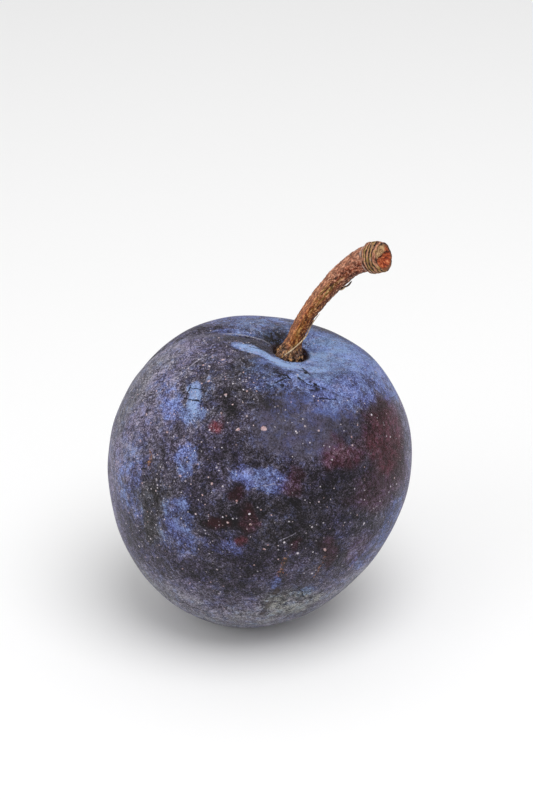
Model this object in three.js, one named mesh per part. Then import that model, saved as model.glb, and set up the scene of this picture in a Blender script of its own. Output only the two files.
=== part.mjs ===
import * as THREE from 'three';

// A ripe blue plum with its stem still on.
// Lengths are millimetres and angles are degrees. +Z is up and the front of the fruit is at -Y.
// The fruit stands on z = 0, and the centre of its small resting spot is the origin.

// Fruit body. Its own axis runs from the blossom tip to the stem end.
const BODY_CENTRE = new THREE.Vector3(1.0, -0.4, 23.45);
const BODY_RADIUS = 21.1;
const FRONT_TO_BACK_RATIO = 0.97;
const LEAN_TO_RIGHT = 14.0;
const LEAN_TO_FRONT = 2.1;

// Egg shape. Each share of the body radius is gained with one power of the cosine along the axis.
const STEM_END_GAIN = 0.033;
const BOTH_ENDS_GAIN = 0.063;
const TIP_TAPER = -0.0995;
const SHOULDER_SQUARENESS = 0.025;
const RIGHT_SHOULDER_GAIN = 0.017;
const RIGHT_ENDS_GAIN = 0.02;

// Stem cavity. A wide shallow dish holds a narrower funnel.
// The dish reaches furthest to the back left, where the funnel is steepest.
const CAVITY_BACK_LEFT = 135.0;
const DISH_MEAN_RADIUS = 14.2;
const DISH_RADIUS_CHANGE = 2.2;
const DISH_DEPTH = 2.4;
const FUNNEL_MEAN_RADIUS = 7.2;
const FUNNEL_RADIUS_CHANGE = 2.8;
const FUNNEL_DEPTH = 1.2;
const FUNNEL_FLOOR_RADIUS = 1.5;
const SOCKET_RADIUS = 2.45;
const SOCKET_DEPTH = 1.0;
const SOCKET_WALL_WIDTH = 0.15;

// Suture. A faint groove runs from the cavity over the left shoulder and fades toward the tip.
const SUTURE_SIDE = 165.0;
const SUTURE_DEPTH = 0.45;
const SUTURE_HALF_WIDTH = 1.5;
const SUTURE_START = 3.0;
const SUTURE_RUN_IN = 2.0;
const SUTURE_FADE_HEIGHT = 12.0;
const SUTURE_SHARE_AT_TIP = 0.25;

// Resting spot. The skin is pressed flat over a small round patch under the fruit.
const REST_RADIUS = 4.6;
const REST_ROLL_OFF = 0.25;

// Stem. It rises out of the socket, bends to the right and turns its cut face to the front.
const FIT_GAP = 0.3;
const STEM_ROUTE = [
  new THREE.Vector3(6.2, -1.1, 43.6),
  new THREE.Vector3(7.6, -1.3, 46.6),
  new THREE.Vector3(9.3, -1.5, 49.3),
  new THREE.Vector3(11.6, -1.6, 52.2),
  new THREE.Vector3(13.8, -2.0, 54.4),
  new THREE.Vector3(15.5, -3.0, 55.7),
  new THREE.Vector3(17.6, -4.7, 56.7),
];
const COLLAR_RADIUS = 2.1;
const COLLAR_LENGTH = 1.7;
const SHAFT_RADIUS = 1.08;
const SHAFT_UPPER_RADIUS = 1.42;
const SHAFT_SWELL_FROM = 6.0;
const SHAFT_SWELL_TO = 17.0;
const KNUCKLE_RADIUS = 2.2;
const KNUCKLE_LENGTH = 3.9;
const KNUCKLE_SHOULDER = 1.5;
const SCAR_RING_HEIGHT = 0.05;
const SCAR_RING_SPACING = 0.85;
const CUT_EDGE_ROUNDING = 0.5;
const CUT_EDGE_DRAW_IN = 0.6;
const CUT_FACE_DISH = 0.4;

// Mesh fineness.
const FRUIT_SIDES = 52;
const FRUIT_BODY_RINGS = 27;
const FIRST_RING_OUTSIDE_SOCKET = 0.75;
const LAST_RING_OUTSIDE_REST = 0.9;
const RING_CROWDING_AT_ENDS = 0.45;
const STEM_SIDES = 20;
const COLLAR_STEP = 0.45;
const COLLAR_STEPS_END = 3.4;
const SHAFT_STEP = 1.1;
const KNUCKLE_STEP = 0.28;
const SHORTEST_STEP = 0.12;

const smooth = (from, to, value) => THREE.MathUtils.smoothstep(value, from, to);
const radians = THREE.MathUtils.degToRad;

// Turns the fruit's own frame, whose +Z is the stem end, into the standing frame.
function leanOfBody() {
  const toRight = new THREE.Quaternion().setFromAxisAngle(
    new THREE.Vector3(0, 1, 0), radians(LEAN_TO_RIGHT));
  const toFront = new THREE.Quaternion().setFromAxisAngle(
    new THREE.Vector3(1, 0, 0), radians(LEAN_TO_FRONT));
  return toFront.multiply(toRight);
}

const BODY_LEAN = leanOfBody();

// Distance from the body centre to the uncut egg shape along a unit ray of the fruit's own frame.
function eggRadius(ray) {
  const along = ray.z;
  const growth = STEM_END_GAIN * along
    + BOTH_ENDS_GAIN * along ** 2
    + TIP_TAPER * along ** 3
    + SHOULDER_SQUARENESS * along ** 4
    + RIGHT_SHOULDER_GAIN * ray.x * along
    + RIGHT_ENDS_GAIN * ray.x * along ** 2;
  return BODY_RADIUS * (1 + growth);
}

// Depth of the stem cavity below the egg shape at a distance and bearing from the fruit's axis.
function cavityDepth(distance, bearing) {
  const backLeft = Math.cos(bearing - radians(CAVITY_BACK_LEFT));
  const dishRadius = DISH_MEAN_RADIUS + DISH_RADIUS_CHANGE * backLeft;
  const dish = distance < dishRadius ? (1 - (distance / dishRadius) ** 2) ** 2 : 0;
  const funnelRadius = FUNNEL_MEAN_RADIUS - FUNNEL_RADIUS_CHANGE * backLeft;
  const funnel = 1 - smooth(FUNNEL_FLOOR_RADIUS, funnelRadius, distance);
  const socket = 1 - smooth(SOCKET_RADIUS, SOCKET_RADIUS + SOCKET_WALL_WIDTH, distance);
  return DISH_DEPTH * dish + FUNNEL_DEPTH * funnel + SOCKET_DEPTH * socket;
}

// Depth of the suture groove at a point of the fruit's own frame.
function sutureDepth(point) {
  const side = radians(SUTURE_SIDE);
  const outward = point.x * Math.cos(side) + point.y * Math.sin(side);
  const across = point.y * Math.cos(side) - point.x * Math.sin(side);
  const cut = Math.exp(-((across / SUTURE_HALF_WIDTH) ** 2));
  const started = smooth(SUTURE_START, SUTURE_START + SUTURE_RUN_IN, outward);
  const upper = smooth(-SUTURE_FADE_HEIGHT, SUTURE_FADE_HEIGHT, point.z);
  const fading = SUTURE_SHARE_AT_TIP + (1 - SUTURE_SHARE_AT_TIP) * upper;
  return SUTURE_DEPTH * cut * started * fading;
}

// Standing-frame position of the skin along a unit ray of the fruit's own frame.
function skinPoint(ray) {
  const point = ray.clone().multiplyScalar(eggRadius(ray));
  point.y *= FRONT_TO_BACK_RATIO;
  point.addScaledVector(ray, -sutureDepth(point));
  if (ray.z > 0) {
    point.z -= cavityDepth(Math.hypot(point.x, point.y), Math.atan2(point.y, point.x));
  }
  point.applyQuaternion(BODY_LEAN).add(BODY_CENTRE);
  point.z = (point.z + Math.hypot(point.z, REST_ROLL_OFF)) / 2;
  return point;
}

// Polar angles of the fruit's rings: three in the socket, then the body's, closer at both ends.
function fruitRingAngles() {
  const top = eggRadius(new THREE.Vector3(0, 0, 1));
  const socketRings = [0.5 * SOCKET_RADIUS, SOCKET_RADIUS, SOCKET_RADIUS + SOCKET_WALL_WIDTH];
  const angles = socketRings.map((distance) => Math.asin(distance / top));
  const bodyStart = Math.asin((SOCKET_RADIUS + FIRST_RING_OUTSIDE_SOCKET) / top);
  const bodyEnd = Math.PI - Math.asin((REST_RADIUS + LAST_RING_OUTSIDE_REST) / BODY_CENTRE.z);
  for (let ring = 0; ring < FRUIT_BODY_RINGS; ring += 1) {
    const share = ring / (FRUIT_BODY_RINGS - 1);
    const crowded = THREE.MathUtils.lerp(share, smooth(0, 1, share), RING_CROWDING_AT_ENDS);
    angles.push(bodyStart + (bodyEnd - bodyStart) * crowded);
  }
  return angles;
}

// Closes rings of points into a solid. Both ends fan into a centre point.
function solidFromRings(rings, firstCentre, lastCentre) {
  const sides = rings[0].length;
  const positions = [firstCentre, ...rings.flat(), lastCentre].flatMap((p) => [p.x, p.y, p.z]);
  const last = 1 + rings.length * sides;
  const faces = [];
  for (let side = 0; side < sides; side += 1) {
    const next = (side + 1) % sides;
    faces.push(0, 1 + side, 1 + next);
    for (let ring = 0; ring < rings.length - 1; ring += 1) {
      const a = 1 + ring * sides + side;
      const b = 1 + ring * sides + next;
      faces.push(a, a + sides, b + sides, a, b + sides, b);
    }
    faces.push(last, last - sides + next, last - sides + side);
  }
  const geometry = new THREE.BufferGeometry();
  geometry.setAttribute('position', new THREE.Float32BufferAttribute(positions, 3));
  geometry.setIndex(faces);
  geometry.computeVertexNormals();
  return geometry;
}

function fruitGeometry() {
  const toRest = BODY_CENTRE.clone().negate().normalize()
    .applyQuaternion(BODY_LEAN.clone().invert());
  const restTurn = new THREE.Quaternion().setFromUnitVectors(new THREE.Vector3(0, 0, -1), toRest);
  const rings = fruitRingAngles().map((polar) => {
    const turn = new THREE.Quaternion().slerp(restTurn, smooth(Math.PI / 3, Math.PI, polar));
    return Array.from({ length: FRUIT_SIDES }, (_, side) => {
      const bearing = (2 * Math.PI * side) / FRUIT_SIDES;
      const ray = new THREE.Vector3().setFromSphericalCoords(1, polar, bearing);
      const ownRay = new THREE.Vector3(ray.z, ray.x, ray.y).applyQuaternion(turn);
      return skinPoint(ownRay);
    });
  });
  rings.push(Array.from({ length: FRUIT_SIDES }, (_, side) => {
    const bearing = (2 * Math.PI * side) / FRUIT_SIDES;
    return new THREE.Vector3(REST_RADIUS * Math.cos(bearing), REST_RADIUS * Math.sin(bearing), 0);
  }));
  return solidFromRings(rings, skinPoint(new THREE.Vector3(0, 0, 1)), new THREE.Vector3(0, 0, 0));
}

// Centreline of the stem, starting just above the floor of the socket.
function stemCurve() {
  const axis = new THREE.Vector3(0, 0, 1);
  const floor = skinPoint(axis);
  const foot = floor.addScaledVector(axis.clone().applyQuaternion(BODY_LEAN), FIT_GAP);
  return new THREE.CatmullRomCurve3([foot, ...STEM_ROUTE], false, 'centripetal');
}

// Radius of the stem at a distance along it.
function stemRadius(distance, length) {
  const knuckleStart = length - KNUCKLE_LENGTH;
  const swell = smooth(SHAFT_SWELL_FROM, SHAFT_SWELL_TO, distance);
  const shaft = SHAFT_RADIUS + (SHAFT_UPPER_RADIUS - SHAFT_RADIUS) * swell;
  const collar = (COLLAR_RADIUS - SHAFT_RADIUS) * Math.exp(-((distance / COLLAR_LENGTH) ** 2));
  const onKnuckle = smooth(knuckleStart, knuckleStart + KNUCKLE_SHOULDER, distance);
  const knuckle = (KNUCKLE_RADIUS - SHAFT_UPPER_RADIUS) * onKnuckle;
  const ringPhase = (2 * Math.PI * (distance - knuckleStart)) / SCAR_RING_SPACING;
  const scarRings = SCAR_RING_HEIGHT * onKnuckle * Math.cos(ringPhase);
  const edge = Math.max(0, distance - (length - CUT_EDGE_ROUNDING));
  const rounding = CUT_EDGE_ROUNDING - Math.sqrt(CUT_EDGE_ROUNDING ** 2 - edge ** 2);
  return shaft + collar + knuckle + scarRings - CUT_EDGE_DRAW_IN * rounding;
}

// Distances of the stem's rings from its foot.
function stemStations(length) {
  const stations = [];
  let distance = 0;
  while (distance < length - SHORTEST_STEP) {
    stations.push(distance);
    if (distance < COLLAR_STEPS_END) {
      distance += COLLAR_STEP;
    } else if (distance < length - KNUCKLE_LENGTH - SHAFT_STEP) {
      distance += SHAFT_STEP;
    } else {
      distance += KNUCKLE_STEP;
    }
  }
  stations.push(length);
  return stations;
}

function stemGeometry() {
  const curve = stemCurve();
  const length = curve.getLength();
  let sideways = new THREE.Vector3(0, 1, 0);
  const rings = stemStations(length).map((distance) => {
    const centre = curve.getPointAt(distance / length);
    const forward = curve.getTangentAt(distance / length);
    if (distance === 0) {
      forward.set(0, 0, 1).applyQuaternion(BODY_LEAN);
    }
    sideways = sideways.clone().addScaledVector(forward, -sideways.dot(forward)).normalize();
    const upward = new THREE.Vector3().crossVectors(forward, sideways);
    const radius = stemRadius(distance, length);
    return Array.from({ length: STEM_SIDES }, (_, side) => {
      const bearing = (2 * Math.PI * side) / STEM_SIDES;
      return centre.clone()
        .addScaledVector(sideways, radius * Math.cos(bearing))
        .addScaledVector(upward, radius * Math.sin(bearing));
    });
  });
  const dishCentre = curve.getPointAt(1).addScaledVector(curve.getTangentAt(1), -CUT_FACE_DISH);
  return solidFromRings(rings.map((ring) => ring.reverse()), curve.getPointAt(0), dishCentre);
}

function named(name, geometry, color, roughness) {
  const material = new THREE.MeshStandardMaterial({ color, roughness, metalness: 0 });
  const mesh = new THREE.Mesh(geometry, material);
  mesh.name = name;
  return mesh;
}

const plum = new THREE.Group();
plum.name = 'plum';
plum.add(named('fruit', fruitGeometry(), '#4b4860', 0.55));
plum.add(named('stem', stemGeometry(), '#7d5a41', 0.65));

export default plum;
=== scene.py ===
"""A ripe blue plum with its stem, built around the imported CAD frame.

Lengths are in metres in the row frame. The fruit stands on z = 0, +Z is up and -Y is the front.
Shape constants marked mm are in millimetres and are turned into metres where they are used.
"""

import math

import bpy
import numpy as np
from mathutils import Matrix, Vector


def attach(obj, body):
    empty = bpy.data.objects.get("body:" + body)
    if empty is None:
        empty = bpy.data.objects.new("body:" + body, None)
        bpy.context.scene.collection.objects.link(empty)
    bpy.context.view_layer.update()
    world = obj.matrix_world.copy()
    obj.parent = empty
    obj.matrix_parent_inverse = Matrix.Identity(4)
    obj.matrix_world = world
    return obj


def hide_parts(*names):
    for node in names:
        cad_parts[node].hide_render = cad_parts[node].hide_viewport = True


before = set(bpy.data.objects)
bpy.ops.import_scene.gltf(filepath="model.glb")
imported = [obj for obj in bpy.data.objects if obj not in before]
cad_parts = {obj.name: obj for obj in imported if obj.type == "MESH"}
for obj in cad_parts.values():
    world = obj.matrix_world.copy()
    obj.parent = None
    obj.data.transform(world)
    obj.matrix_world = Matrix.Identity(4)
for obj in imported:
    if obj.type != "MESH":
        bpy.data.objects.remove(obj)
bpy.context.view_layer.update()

MM = 0.001

# ---------------------------------------------------------------- fruit form (mm)
# The egg form, the dish, the funnel and the suture's groove are the CAD's. The socket is a little
# narrower and shallower, and the hollow beside the stem and the suture's ridge are only here.
BODY_CENTRE = np.array([1.0, -0.4, 23.45])
BODY_RADIUS = 21.1
FRONT_TO_BACK_RATIO = 0.97
LEAN_TO_RIGHT = math.radians(14.0)
LEAN_TO_FRONT = math.radians(2.1)
SOCKET_RADIUS = 2.3
SOCKET_DEPTH = 0.9
DISH_RADIUS = 14.2
DISH_DEPTH = 2.4
FUNNEL_RADIUS = 7.2
FUNNEL_DEPTH = 1.2
STEEP_SIDE = math.radians(135.0)
HOLLOW_SIDE = math.radians(130.0)
HOLLOW_SPREAD = math.radians(34.0)
HOLLOW_DEPTH = 0.7
SUTURE_SIDE = math.radians(165.0)
SUTURE_DEPTH = 0.45
SUTURE_RIDGE = 0.2
REST_RADIUS = 4.6
REST_SHARES = (1.0, 0.9, 0.6, 0.3)

# Fineness of the fruit's grid.
FRUIT_SIDES = 400
FRUIT_RINGS = 232


def smooth(low, high, value):
    t = np.clip((value - low) / (high - low), 0, 1)
    return t * t * (3 - 2 * t)


def ring_bearings(sides):
    return 2 * math.pi * np.arange(sides) / sides


def turn_x(a):
    c, s = math.cos(a), math.sin(a)
    return np.array([[1, 0, 0], [0, c, -s], [0, s, c]])


def turn_y(a):
    c, s = math.cos(a), math.sin(a)
    return np.array([[c, 0, s], [0, 1, 0], [-s, 0, c]])


LEAN = turn_x(LEAN_TO_FRONT) @ turn_y(LEAN_TO_RIGHT)


def unit(v):
    return v / np.maximum(np.linalg.norm(v, axis=-1, keepdims=True), 1e-12)


def lattice_noise(points, size, seed):
    """Smooth noise of about -1 to 1 at 3-D points. Its lumps are about size across."""
    rng = np.random.default_rng(seed)
    order = rng.permutation(256)
    slopes = unit(rng.normal(size=(256, 3)))
    p = points / size + 37.0
    cell = np.floor(p).astype(int)
    f = p - cell
    ease = f * f * f * (f * (f * 6 - 15) + 10)
    total = np.zeros(points.shape[:-1])
    for dx in (0, 1):
        for dy in (0, 1):
            for dz in (0, 1):
                i = order[(cell[..., 0] + dx) & 255]
                i = order[(i + cell[..., 1] + dy) & 255]
                i = order[(i + cell[..., 2] + dz) & 255]
                step = f - np.array([dx, dy, dz])
                weight = (
                    (ease[..., 0] if dx else 1 - ease[..., 0])
                    * (ease[..., 1] if dy else 1 - ease[..., 1])
                    * (ease[..., 2] if dz else 1 - ease[..., 2])
                )
                total += weight * (slopes[i] * step).sum(-1)
    return 1.7 * total


def fractal_noise(points, size, octaves, seed, gain=0.5):
    total, weight = 0.0, 1.0
    for k in range(octaves):
        total = total + weight * lattice_noise(points, size / 2**k, seed + 13 * k)
        weight *= gain
    return total


# ---------------------------------------------------------------- fruit


def egg_radius(ray):
    x, z = ray[..., 0], ray[..., 2]
    growth = 0.033 * z + 0.063 * z**2 - 0.0995 * z**3 + 0.025 * z**4
    growth = growth + 0.017 * x * z + 0.02 * x * z**2
    return BODY_RADIUS * (1 + growth)


def direction(azimuth, elevation):
    """Unit direction seen from the fruit's centre. Azimuth 0 is the front and 90 the right."""
    a, e = math.radians(azimuth), math.radians(elevation)
    return np.array([math.sin(a) * math.cos(e), -math.cos(a) * math.cos(e), math.sin(e)])


def hollow(distance, bearing):
    """1 in the dark hollow to the left of the stem's foot."""
    off = np.angle(np.exp(1j * (bearing - HOLLOW_SIDE)))
    return np.exp(-((off / HOLLOW_SPREAD) ** 2)) * (1 - smooth(2.8, 5.6, distance))


def cavity_depth(distance, bearing):
    """Depth of the stem cavity below the egg form, with the socket that the stem sits in."""
    back_left = np.cos(bearing - STEEP_SIDE)
    dish_radius = DISH_RADIUS + 2.2 * back_left
    dish = np.where(distance < dish_radius, (1 - (distance / dish_radius) ** 2) ** 2, 0)
    funnel = 1 - smooth(1.5, FUNNEL_RADIUS - 2.8 * back_left, distance)
    edge = SOCKET_RADIUS * (1 + 0.06 * np.sin(3 * bearing + 1.0) + 0.03 * np.sin(7 * bearing))
    socket = 1 - smooth(edge - 0.1, edge + 0.35, distance)
    depth = DISH_DEPTH * dish + FUNNEL_DEPTH * funnel + SOCKET_DEPTH * socket
    return depth + HOLLOW_DEPTH * hollow(distance, bearing)


def suture_depth(point):
    outward = point[..., 0] * math.cos(SUTURE_SIDE) + point[..., 1] * math.sin(SUTURE_SIDE)
    across = point[..., 1] * math.cos(SUTURE_SIDE) - point[..., 0] * math.sin(SUTURE_SIDE)
    groove = np.exp(-((across / 1.5) ** 2))
    started = smooth(3.0, 5.0, outward)
    fading = 0.25 + 0.75 * smooth(-12.0, 12.0, point[..., 2])
    ridge = np.exp(-((across / 0.28) ** 2)) * smooth(1.8, 3.0, outward) * (1 - smooth(7.5, 10.5, outward))
    return SUTURE_DEPTH * groove * started * fading - SUTURE_RIDGE * ridge * (point[..., 2] > 0)


def skin_points(ray):
    """Row-frame points (mm) of the skin along unit rays of the fruit's own frame."""
    p = ray * egg_radius(ray)[..., None]
    p[..., 1] *= FRONT_TO_BACK_RATIO
    p = p - ray * suture_depth(p)[..., None]
    distance = np.hypot(p[..., 0], p[..., 1])
    bearing = np.arctan2(p[..., 1], p[..., 0])
    p[..., 2] -= np.where(ray[..., 2] > 0, cavity_depth(distance, bearing), 0)
    p = p @ LEAN.T + BODY_CENTRE
    p[..., 2] = (p[..., 2] + np.hypot(p[..., 2], 0.25)) / 2
    return p


def ring_angles():
    """Polar angles of the rings: fine steps round the socket, then even ones over the body."""
    top = float(egg_radius(np.array([0.0, 0.0, 1.0])))
    start, end = 0.12 / top, math.pi - math.asin((REST_RADIUS + 0.35) / BODY_CENTRE[2])
    share = np.linspace(0, 1, FRUIT_RINGS)
    spacing = 0.35 + 0.65 * smooth(3.0 / top, 8.0 / top, share * end)
    run = np.concatenate([[0], np.cumsum((spacing[1:] + spacing[:-1]) / 2)])
    return start + (end - start) * run / run[-1]


def rest_turns(polar):
    """Turns that bend the rings' centre from the fruit's axis to the resting spot's centre."""
    to_rest = unit(-BODY_CENTRE) @ LEAN
    down = np.array([0.0, 0.0, -1.0])
    axis = unit(np.cross(down, to_rest))
    angle = math.acos(float(down @ to_rest))
    return axis, angle * smooth(math.pi / 3, math.pi, polar)


def rotate(v, axis, angle):
    c, s = np.cos(angle)[..., None], np.sin(angle)[..., None]
    return v * c + np.cross(axis, v) * s + axis * (v @ axis)[..., None] * (1 - c)


def add_object(name, data):
    obj = bpy.data.objects.new(name, data)
    bpy.context.scene.collection.objects.link(obj)
    return obj


def grid_mesh(name, rings, first=None, last=None):
    """A mesh from rings of points (mm), each ring closed, with a centre point at each end."""
    count, sides = rings.shape[:2]
    points = rings.reshape(-1, 3)
    i = np.arange(sides)
    j = (i + 1) % sides
    faces = []
    for r in range(count - 1):
        a, b = r * sides + i, r * sides + j
        faces += np.stack([a, a + sides, b + sides, b], 1).tolist()
    if first is not None:
        faces += np.stack([np.full(sides, len(points)), i, j], 1).tolist()
        points = np.vstack([points, first])
    if last is not None:
        base = (count - 1) * sides
        faces += np.stack([np.full(sides, len(points)), base + j, base + i], 1).tolist()
        points = np.vstack([points, last])
    mesh = bpy.data.meshes.new(name)
    mesh.from_pydata((points * MM).tolist(), [], faces)
    mesh.polygons.foreach_set("use_smooth", [True] * len(mesh.polygons))
    mesh.update()
    return add_object(name, mesh)


def set_attribute(obj, name, values):
    layer = obj.data.attributes.new(name, "FLOAT", "POINT")
    layer.data.foreach_set("value", np.asarray(values, np.float32))


def grid_normals(rings):
    across = np.roll(rings, -1, 1) - np.roll(rings, 1, 1)
    along = np.gradient(rings, axis=0)
    return unit(np.cross(along, across))


# How far a patch's edge is blurred, as a share of its half-width.
PATCH_SOFTNESS = 0.4


def patch(ways, azimuth, elevation, wide, high, turn=0.0):
    """1 inside an oval patch of skin and 0 outside. Sizes are half-widths in degrees."""
    centre = direction(azimuth, elevation)
    east = unit(np.cross(np.array([0.0, 0.0, 1.0]), centre))
    north = np.cross(centre, east)
    facing = np.maximum(ways @ centre, 0.05)
    u, v = np.degrees(np.arctan2(ways @ east, facing)), np.degrees(np.arctan2(ways @ north, facing))
    c, s = math.cos(math.radians(turn)), math.sin(math.radians(turn))
    q = np.hypot((u * c + v * s) / wide, (v * c - u * s) / high)
    return np.where(ways @ centre > 0, 1 - smooth(1 - PATCH_SOFTNESS, 1 + PATCH_SOFTNESS, q), 0)


# Each patch of skin: amount, azimuth, elevation, half-width, half-height and, if it has one, turn.
# Where the wax bloom lies thicker.
BLOOM_PATCHES = {
    "right shoulder": (0.29, 72, 60, 32, 17, -8),
    "right shoulder, front": (0.10, 40, 57, 8, 6),
    "right shoulder, lower": (0.17, 46, 44, 9, 5, 12),
    "right shoulder, edge": (0.2, 61, 42, 6, 3.5),
    "front of the cavity": (0.26, 34, 72, 17, 6, 8),
    "below the cavity": (0.16, 3, 59, 7, 3.5),
    "behind the cavity": (0.17, 150, 72, 40, 16),
    "small square": (0.42, -38, 50, 4.2, 2.8, -10),
    "above the square": (0.14, -34, 55, 2.0, 3.5, 10),
    "left upper": (0.22, -41, 43.5, 9, 3.2, 22),
    "left upper, far end": (0.12, -54, 45, 5, 5, 20),
    "above the far end": (0.12, -62, 50, 4, 2.5, 20),
    "upper streak": (0.24, -31, 27.5, 3.6, 6.4, 22),
    "middle": (0.31, 1, 23, 9.5, 4.4, -8),
    "middle, left part": (0.12, -4, 21, 4, 3.5, -20),
    "tall, lower left": (0.23, -30, 5, 8, 8),
    "tall, lower end": (0.15, -32, -6, 9, 6),
    "lower middle": (0.16, -13, -5.5, 9, 3.5),
    "left cheek": (0.12, -58, 11, 10, 15),
    "left cheek, lower": (0.05, -58, -3, 8, 7),
    "low streak": (0.26, 7, -24, 2.5, 3.5, -12),
    "low right spot": (0.16, 22, -32, 4, 3),
    "lower right": (0.10, 50, -20, 10, 10, 20),
    "lower right rim": (0.16, 63, -12, 8, 12, 20),
    "right rim": (0.2, 90, 36, 14, 8),
    "right of the centre": (0.06, 33, 0, 5, 9),
    "centre right": (0.08, 9, 7, 5, 3),
    "far right, upper": (0.22, 116, 30, 12, 9, 20),
    "far right, low": (0.24, 122, -14, 9, 13, -15),
    "back, upper": (0.28, 152, 44, 11, 7, -12),
    "back, middle": (0.26, 176, 16, 13, 7, 10),
    "back, small": (0.26, 160, -2, 4, 6, 20),
    "back, low": (0.24, 196, -20, 11, 8, -20),
    "far left, upper": (0.26, 222, 36, 9, 11, 15),
    "far left, middle": (0.24, 238, 4, 7, 12),
    "far left, low": (0.18, 252, -24, 9, 6, 12),
}

# Where the film of wax is thicker or thinner without being bluer. At the left and right rims it is partly
# real bloom and partly a painted rim highlight.
FILM_PATCHES = {
    # Partly real bloom, partly painted rim highlight.
    "left rim": (0.38, -84, 20, 24, 48),
    "upper left": (0.14, -60, 60, 28, 18),
    "left cheek": (0.10, -50, 22, 16, 28),
    "left cheek, upper": (0.10, -38, 34, 9, 7),
    "beside the streak": (0.10, -25, 47, 6, 4),
    "lower middle": (-0.08, 8, 2, 30, 14),
    "left edge": (-0.10, -73, 44, 8, 9),
    "left of the square": (0.08, -56, 44, 6, 5),
    "low left": (0.07, -37, -11, 7, 6),
    "under": (0.40, 0, -60, 75, 26),
    "under, right": (0.24, 15, -38, 10, 7),
    "under, middle": (0.14, 1, -34, 6, 3),
    # Partly real bloom, partly painted rim highlight.
    "right rim": (0.40, 92, -5, 22, 46),
    "lower right": (0.08, 50, -24, 18, 14),
    "smoky": (0.10, 19, 39, 14, 12),
    "back": (0.12, 180, 10, 80, 60),
    "behind the cavity": (0.1, 165, 74, 30, 12),
}

# Where the bloom is rubbed off and the skin is nearly black.
RUBBED_PATCHES = {
    "upper left": (0.03, -15, 57, 12, 11),
    "streak above the red spot": (0.26, -19, 48.5, 8, 2.4, -35),
    "below the shoulder": (0.16, 16, 50, 8, 5, -10),
    "below the finger": (0.12, -2, 69, 5, 3),
    "beside the tall patch": (0.10, -44, 2, 5, 13, -8),
    "core": (0.34, -8.5, 16.5, 3.2, 2.6),
    "core, lower": (0.32, -14, 4.5, 6.5, 2.2),
    "core, middle": (0.16, -7, 8, 6, 5),
    "left of the core": (0.14, -15, 13, 3, 2.5),
    "pit": (0.5, -23.5, 8.5, 1.1, 1.1),
    "centre right": (0.12, 10, 12, 12, 5),
    "round spot": (0.2, 13, 15, 2.6, 2.4),
    "centre right, lower": (0.14, 16, 2, 9, 7),
    "right of the centre": (0.14, 28, 19, 12, 6),
    "centre, far right": (0.08, 34, 8, 12, 12),
    "low centre": (0.12, -2, -12, 12, 6),
    "low left": (0.16, -14, -22, 12, 5, 8),
    "low right": (0.16, 27, -12, 3.5, 9),
    "above the red cheek": (0.3, 66, 34.5, 5.5, 3.2),
    "edge of the square": (0.08, -29, 47, 3, 3),
    "right cheek": (0.16, 58, 20, 20, 15),
    "far right": (0.16, 104, 4, 7, 12, 12),
    "far right, upper": (0.2, 134, 26, 8, 6),
    "back, right": (0.18, 143, -16, 8, 10, -12),
    "back, middle": (0.18, 186, 34, 12, 6, 6),
    "back, centre": (0.24, 196, 2, 8, 7),
    "back, low": (0.18, 168, -30, 12, 7),
    "far left": (0.2, 214, 14, 6, 11, 10),
    "far left, low": (0.2, 228, -22, 10, 6),
    "far left, upper": (0.16, 252, 42, 10, 5, -10),
}

# Where red shows through.
RED_PATCHES = {
    "right cheek": (0.6, 62, 26, 13, 11),
    "right cheek, lower part": (0.25, 55, 10, 18, 8),
    "right cheek, left part": (0.4, 36, 27, 8, 6),
    "left of the right cheek": (0.25, 14, 21, 4, 3),
    "round spot": (0.9, -19, 40.5, 3.2, 3.0),
    "low spot": (0.85, -5, -2, 2.4, 1.8),
    "core": (0.3, -8.5, 16, 3, 2.5),
    "core, lower": (0.4, -14, 4.5, 5.5, 1.8),
    "centre stain": (0.35, -3, 7, 2.6, 6),
    "low stain": (0.25, 27, -11, 3, 8),
    "rusty mark": (0.3, 14, -4, 2.5, 3),
    "low right": (0.15, 42, -15, 6, 8),
    "back, cheek": (0.4, 208, 22, 12, 9),
    "back, spot": (0.8, 170, 38, 3, 2.6),
    "back, stain": (0.3, 140, 6, 7, 5, 20),
    "far left, spot": (0.7, 244, -8, 2.4, 2),
}

# Where the film is smoky, with a soft brushed look.
SMOKY_PATCHES = {
    "middle right": (0.9, 18, 41, 15, 12),
    "under the shoulder": (0.6, 38, 38, 12, 6),
    "back": (0.7, 190, 50, 15, 9),
}

# Where the film turns grey-green.
GREEN_PATCHES = {
    "under, right": (0.9, 15, -38, 11, 9),
    "under": (0.7, 0, -62, 70, 22),
    "left rim": (0.45, -85, 35, 12, 22),
    "beside the tall patch": (0.8, -44, 3, 7, 16, -8),
    "upper left": (0.35, -20, 56, 18, 14),
    "centre": (0.3, 8, 5, 16, 10),
    "back": (0.5, 228, -6, 16, 14),
}

# Where the wax has crazed into short curved cracks.
CRAZED_PATCHES = {
    "shoulder, left": (1.0, 16, 60, 6, 4),
    "shoulder, middle": (1.0, 33, 58, 7, 6),
    "shoulder, right": (1.0, 46, 60, 6, 6),
    "shoulder, lower": (0.7, 40, 50, 8, 4),
    "upper left": (0.6, -8, 66, 8, 4),
    "under, right": (0.8, 12, -36, 16, 7),
    "back": (0.8, 150, 48, 12, 8),
}

# Patches beside the stem, in the fruit's own plan (mm, the stem at 0, 0, the front at -y):
# centre x, centre y, half-length, half-width, turn, amount of bloom, amount rubbed off.
CAVITY_PATCHES = {
    "finger": (-4.4, -3.0, 3.7, 1.25, -17, 0.6, 0.0),
    "front lip": (1.0, -5.0, 4.4, 1.5, 8, 0.24, 0.0),
    "band below the seam": (-6.4, -0.3, 3.4, 1.2, -12, 0.0, 0.07),
    "behind the seam": (-7.8, 2.6, 2.6, 1.0, -15, 0.22, 0.0),
    "right of the stem": (6.5, -0.5, 4.0, 3.0, 0, 0.08, 0.0),
    "dark marks in front": (-3.0, -7.2, 2.2, 1.0, 25, 0.0, 0.16),
}

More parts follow.
